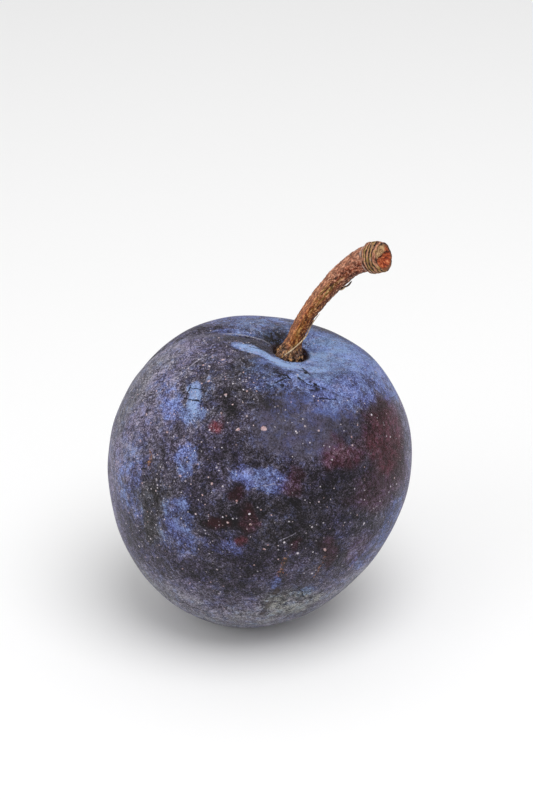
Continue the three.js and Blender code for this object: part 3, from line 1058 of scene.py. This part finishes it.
def build_stem():
    axis = LEAN @ np.array([0.0, 0.0, 1.0])
    foot = BODY_CENTRE + axis * FOOT_HEIGHT
    centres, length = smooth_route(np.vstack([foot, STEM_ROUTE]), STEM_RINGS)
    forward, side, up = carried_frames(centres, (0.0, 1.0, 0.0))
    distance = np.linspace(0, length, STEM_RINGS)
    bearing = ring_bearings(STEM_SIDES)
    radius, on_knuckle = stem_radius(distance, length)
    out = spokes(side, up, bearing)
    # Bark: long low ridges along the stem, and small warts.
    round_x, round_y, run = np.broadcast_arrays(
        1.3 * np.cos(bearing)[None], 1.3 * np.sin(bearing)[None], distance[:, None]
    )
    wrap = np.stack([round_x, round_y, run], -1)
    ridges = 0.07 * fractal_noise(wrap * np.array([1, 1, 0.25]), 0.55, 3, 31)
    warts = 0.06 * fractal_noise(wrap, 0.45, 3, 33)
    # Uneven scar rings round the knuckle, with a papery edge where they start.
    wobble = 0.5 * fractal_noise(wrap, 1.4, 3, 36)
    ring = np.abs(np.sin(math.pi * ((distance[:, None] - length) / KNUCKLE_RING_SPACING + wobble))) ** 0.6
    start = length - KNUCKLE_LENGTH + 0.35
    papery = np.exp(-(((distance[:, None] - start - 0.25 * wobble) / 0.24) ** 2))
    papery = papery * smooth(-0.6, 0.2, fractal_noise(wrap, 0.8, 3, 38))
    knuckle = np.broadcast_to(on_knuckle[:, None], ring.shape)
    swell = 0.2 * knuckle * lattice_noise(wrap, 1.5, 35)
    # Torn tissue round the foot.
    at_foot = 1 - smooth(0.6, 2.4, run)
    torn = 0.16 * at_foot * fractal_noise(wrap, 0.6, 3, 39)
    r = radius[:, None] + ridges + warts + swell + torn + 0.13 * knuckle * (ring - 0.6) + 0.16 * papery
    rings = centres[:, None] + out * r[..., None]
    normal = forward[-1]
    face, face_u, face_v = cut_face(centres[-1], normal, out[-1], r[-1], bearing)
    rings = np.concatenate([rings, face])
    stem = grid_mesh("stem_bark", rings[:, ::-1], first=centres[0], last=centres[-1] - normal * 0.4)

    def paint(name, shaft_values, face_values, tip=0.0):
        shaft_values = np.broadcast_to(shaft_values, ring.shape)
        face_values = np.broadcast_to(face_values, (len(CUT_SHARES), STEM_SIDES))
        grid = np.concatenate([shaft_values, face_values])[:, ::-1]
        set_attribute(stem, name, np.concatenate([grid.ravel(), [0.0, tip]]))

    paint("along", (distance / length)[:, None], 1.0, 1.0)
    paint("cut", 0.0, 1.0, 1.0)
    paint("face_u", 0.0, face_u)
    paint("face_v", 0.0, face_v)
    paint("wrap_x", round_x, 0.0)
    paint("wrap_y", round_y, 0.0)
    paint("wrap_z", run, length, length)
    paint("knuckle", knuckle, 1.0, 1.0)
    paint("ring", ring, 0.5)
    paint("papery", papery, 0.0)
    # Sides of the stem facing the light and facing away from it: a painted highlight on the upper left and
    # painted shade on the lower right.
    lit, shaded = np.array([-0.75, -0.3, 0.59]), np.array([0.72, -0.1, -0.68])
    paint("lit", smooth(0.55, 0.95, out @ unit(lit)), 0.0)
    paint("shaded", smooth(0.1, 0.8, out @ unit(shaded)), 0.0)
    olive = unit(np.array([0.15, -0.85, 0.5]))
    paint("olive", smooth(0.72, 0.97, out @ olive), 0.0)
    return stem


def build_thread(name, points, thickness):
    """A thin strand through points (mm) that narrows to both ends."""
    centres, _ = smooth_route(np.array(points), THREAD_RINGS)
    _, side, up = carried_frames(centres, (0.0, 1.0, 0.0))
    bearing = ring_bearings(THREAD_SIDES)
    out = spokes(side, up, bearing)
    share = np.linspace(0, 1, THREAD_RINGS)
    radius = 0.5 * thickness * (0.35 + 0.65 * smooth(0, 0.15, share) * (1 - smooth(0.8, 1.0, share)))
    uneven = 1 + 0.3 * fractal_noise(centres, 0.5, 2, 51)
    rings = centres[:, None] + out * (radius * uneven)[:, None, None]
    return grid_mesh(name, rings[:, ::-1], first=centres[0], last=centres[-1])


# A loose fibre that comes off the collar and lies along the right of the stem.
FIBRE = [
    (4.23, -2.7, 40.98),
    (4.6, -2.9, 41.5),
    (5.2, -3.0, 42.0),
    (6.2, -2.6, 42.7),
    (7.0, -2.1, 43.3),
    (7.5, -1.75, 43.8),
    (7.9, -1.6, 44.6),
    (8.25, -1.5, 45.4),
    (8.7, -1.5, 46.1),
    (9.35, -1.6, 47.1),
]
# Slivers of bark that hang below the bend.
DARK_SLIVER = [(12.1, -2.0, 50.85), (12.7, -2.1, 51.25), (13.1, -2.1, 51.45), (13.6, -2.1, 52.1)]
PALE_SLIVER = [(11.7, -2.0, 50.85), (12.2, -2.1, 50.8), (12.8, -2.2, 51.25)]
# Each thin strand's points and thickness in mm.
STRANDS = {
    "stem_fibre": (FIBRE, 0.17),
    "stem_sliver_dark": (DARK_SLIVER, 0.22),
    "stem_sliver_pale": (PALE_SLIVER, 0.14),
}


def knuckle_colour(s, wrap, ring):
    """Pink-brown, olive and pale bands, with painted shade in the furrows between the rings and on the
    stem's lower side.
    """
    bands = s.noise(s.scaled(s.warp(wrap, 1.0, 0.3), (0.3, 0.3, 1.0)), 0.5, 3.0, 0.7)
    banded = s.ramp(
        bands,
        (0.36, 0.44, 0.50, 0.55, 0.62, 0.70),
        (70, 42, 30), (146, 88, 64), (204, 148, 118), (150, 126, 62), (124, 70, 52), (236, 212, 184),
    )
    # Painted shade in the furrows between the scar rings.
    banded = s.mix(s.step(0.45, 0.9, ring, 1.0, 0.0), banded, srgb(30, 18, 13))
    # Painted shade on the side of the knuckle that faces away from the light.
    painted_shade_side = s.times(s.attribute("shaded"), 0.5)
    return s.mix(painted_shade_side, banded, s.shade(banded, 0.45))


def cut_face_colour(s, at, specks, pebbles):
    """Orange-red wood in fan-like streaks, tan above left, a dark crease and a rim of bark."""
    u, v = s.attribute("face_u"), s.attribute("face_v")
    turn = s.math("ARCTAN2", v, u)
    from_middle = s.math("SQRT", s.add(s.times(u, u), s.times(v, v)))
    fan_at = s.xyz(s.times(turn, 1.5), s.times(from_middle, 0.7))
    fan = s.noise(s.warp(fan_at, 0.5, 0.4), 0.5, 5.0, 0.75)
    wood = s.ramp(
        fan,
        (0.38, 0.46, 0.54, 0.64),
        (48, 16, 10), (122, 44, 20), (180, 84, 44), (226, 156, 108),
    )
    shelf = s.minus(v, s.times(u, 0.15))
    shelf = s.add(shelf, s.times(s.minus(s.noise(at, 0.5, 3.0, 0.7), 0.5), 0.9))
    tan = s.blend(0.38, 0.62, s.noise(at, 0.35, 4.0, 0.75), (108, 70, 42), (206, 168, 122))
    above = s.times(s.step(0.2, 0.35, shelf), s.step(0.5, 1.1, u, 1.0, 0.1))
    wood = s.mix(above, wood, tan)
    crease = s.step(0.06, 0.2, s.math("ABSOLUTE", s.minus(shelf, 0.16)), 0.9, 0.0)
    wood = s.mix(crease, wood, srgb(58, 28, 18))
    bark_rim = s.step(1.35, 1.6, s.add(from_middle, s.times(s.minus(specks, 0.5), 0.8)))
    return s.mix(bark_rim, wood, s.blend(0.4, 0.6, pebbles, (46, 26, 18), (112, 70, 46)))


def stem_material():
    s = Shader("stem")
    at = s.millimetres()
    wrap = s.xyz(s.attribute("wrap_x"), s.attribute("wrap_y"), s.attribute("wrap_z"))
    long = s.scaled(s.warp(wrap, 0.8, 0.25), (1.0, 1.0, 0.2))
    fibres = s.noise(long, 0.34, 4.0, 0.65)
    streaks = s.noise(long, 0.7, 3.0, 0.6)
    pebbles = s.noise(s.scaled(s.warp(wrap, 0.6, 0.3), (1.0, 1.0, 0.3)), 0.25, 4.0, 0.75)
    specks = s.noise(s.scaled(s.warp(wrap, 0.5, 0.3), (1.0, 1.0, 0.5)), 0.23, 3.0, 0.75)
    along, knuckle, ring = s.attribute("along"), s.attribute("knuckle"), s.attribute("ring")

    # Bark: terracotta low down and pinker above, streaked, with an olive stripe down the front.
    low = s.ramp(
        fibres,
        (0.34, 0.45, 0.56, 0.70),
        (84, 38, 16), (150, 70, 26), (194, 100, 42), (220, 156, 92),
    )
    high = s.ramp(
        fibres,
        (0.36, 0.46, 0.56, 0.68),
        (72, 32, 20), (134, 64, 38), (174, 92, 60), (214, 156, 124),
    )
    colour = s.mix(s.step(0.25, 0.65, along), low, high)
    # Painted highlight on the side of the stem that faces the light.
    colour = s.paint(colour, s.times(s.attribute("lit"), 0.38), 220, 162, 134)
    stripe = s.times(s.attribute("olive"), s.step(0.42, 0.52, streaks))
    stripe = s.times(stripe, s.step(0.62, 0.78, along, 0.95, 0.15))
    colour = s.mix(stripe, colour, s.blend(0.4, 0.65, fibres, (104, 96, 30), (184, 176, 92)))
    # Painted shade on the side of the stem that faces away from the light.
    painted_shade_colour = s.mix(fibres, srgb(44, 28, 22), srgb(104, 66, 50))
    colour = s.mix(s.times(s.attribute("shaded"), 0.7), colour, painted_shade_colour)

    colour = s.mix(knuckle, colour, knuckle_colour(s, wrap, ring))
    colour = s.paint(colour, s.attribute("papery"), 222, 208, 198)

    # The foot: brown pith with dark pits and pale torn tissue.
    foot = s.step(0.05, 0.14, along, 1.0, 0.0)
    tissue = s.blend(0.44, 0.6, s.noise(at, 0.5, 4.0, 0.7), (92, 58, 42), (204, 168, 146))
    colour = s.mix(s.times(foot, 0.85), colour, tissue)
    holes = s.step(0.42, 0.48, s.noise(at, 0.8, 3.0, 0.65), 0.9, 0.0)
    holes = s.times(s.step(0.05, 0.16, along, 1.0, 0.0), holes)
    colour = s.paint(colour, holes, 40, 24, 18)
    # The lowest part of the foot, where it sits in the socket, is painted dark as painted shade.
    colour = s.paint(colour, s.step(0.0, 0.05, along, 1.0, 0.0), 40, 24, 18)

    # Pebbled dark pits and fine specks over all the bark.
    pits = s.step(0.45, 0.50, pebbles, 0.85, 0.0)
    plain = s.minus(1.0, s.times(knuckle, 0.7))
    marks = s.times(s.most(pits, s.step(0.44, 0.49, specks, 0.9, 0.0)), plain)
    colour = s.mix(marks, colour, s.shade(colour, 0.34))
    pale = s.times(s.step(0.55, 0.60, specks), s.times(plain, 0.7))
    colour = s.mix(pale, colour, s.blend(0.3, 0.7, along, (222, 166, 106), (228, 172, 142)))

    colour = s.mix(s.attribute("cut"), colour, cut_face_colour(s, at, specks, pebbles))

    height = s.add(s.times(fibres, 0.5), s.minus(s.times(specks, 0.5), s.times(marks, 0.3)))
    return s.surface(
        {
            "Base Color": colour,
            "Roughness": s.step(0.3, 0.7, specks, 0.55, 0.8),
            "Normal": s.bump(height, 0.00012),
            "Specular IOR Level": 0.25,
        }
    )


def thread_material(name, dark, pale):
    s = Shader(name)
    at = s.millimetres()
    grain = s.noise(at, 0.35, 3.0, 0.7)
    return s.surface(
        {
            "Base Color": s.mix(s.step(0.35, 0.65, grain), dark, pale),
            "Roughness": s.step(0.3, 0.7, grain, 0.5, 0.7),
            "Specular IOR Level": 0.3,
        }
    )


# ---------------------------------------------------------------- stage

CAMERA_ELEVATION = math.radians(28.0)
CAMERA_DISTANCE = 312.0 * MM
AIM_RIGHT = 1.19 * MM
AIM_UP = 9.0 * MM
LENS_MM = 100
SENSOR_MM = 36
FLOOR_HALF_WIDTH = 3.0
WORLD_BRIGHTNESS = 0.6
# Each light: place from the fruit's centre and size in metres, and power.
LIGHTS = {
    "key": ((0.12, -0.22, 0.6), 0.5, 2.4),
    "fill": ((-0.5, -0.35, 0.25), 0.5, 0.8),
}


def look(obj, target):
    obj.rotation_euler = (Vector(target) - obj.location).to_track_quat("-Z", "Y").to_euler()


def build_camera(centre):
    back = Vector((0, -math.cos(CAMERA_ELEVATION), math.sin(CAMERA_ELEVATION)))
    up = Vector((0, math.sin(CAMERA_ELEVATION), math.cos(CAMERA_ELEVATION)))
    data = bpy.data.cameras.new("camera")
    data.lens, data.sensor_width, data.clip_start, data.clip_end = LENS_MM, SENSOR_MM, 0.01, 20
    camera = add_object("camera", data)
    camera.location = centre + back * CAMERA_DISTANCE
    look(camera, centre + Vector((1, 0, 0)) * AIM_RIGHT + up * AIM_UP)
    bpy.context.scene.camera = camera


def build_floor():
    mesh = bpy.data.meshes.new("floor")
    w = FLOOR_HALF_WIDTH
    mesh.from_pydata([(-w, -w, 0), (w, -w, 0), (w, w, 0), (-w, w, 0)], [], [(0, 1, 2, 3)])
    floor = add_object("floor", mesh)
    material = bpy.data.materials.new("floor")
    material.use_nodes = True
    node = material.node_tree.nodes["Principled BSDF"]
    node.inputs["Base Color"].default_value = (0.96, 0.96, 0.96, 1)
    node.inputs["Roughness"].default_value = 0.9
    mesh.materials.append(material)


def area_light(name, place, target, size, power):
    data = bpy.data.lights.new(name, "AREA")
    data.shape, data.size, data.energy = "DISK", size, power
    light = add_object(name, data)
    light.location = place
    look(light, target)


def build_lights(centre):
    world = bpy.data.worlds.new("studio")
    world.use_nodes = True
    background = world.node_tree.nodes["Background"]
    background.inputs[0].default_value = (1.0, 1.0, 1.0, 1)
    background.inputs[1].default_value = WORLD_BRIGHTNESS
    bpy.context.scene.world = world
    for name, (offset, size, power) in LIGHTS.items():
        area_light(name, centre + Vector(offset), centre, size, power)


fruit = build_fruit()
fruit.data.materials.append(skin_material())
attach(fruit, "root")
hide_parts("fruit")

stem = build_stem()
stem.data.materials.append(stem_material())
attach(stem, "root")
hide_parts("stem")

pale_fibre = thread_material("fibre", srgb(150, 118, 84), srgb(222, 200, 164))
dark_sliver = thread_material("sliver", srgb(38, 26, 20), srgb(96, 70, 52))
for strand_name, (points, thickness) in STRANDS.items():
    strand = build_thread(strand_name, points, thickness)
    strand.data.materials.append(dark_sliver if strand_name.endswith("dark") else pale_fibre)
    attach(strand, "root")

centre = Vector(BODY_CENTRE * MM)
build_camera(centre)
build_floor()
build_lights(centre)
bpy.context.scene.view_settings.view_transform = "Standard"
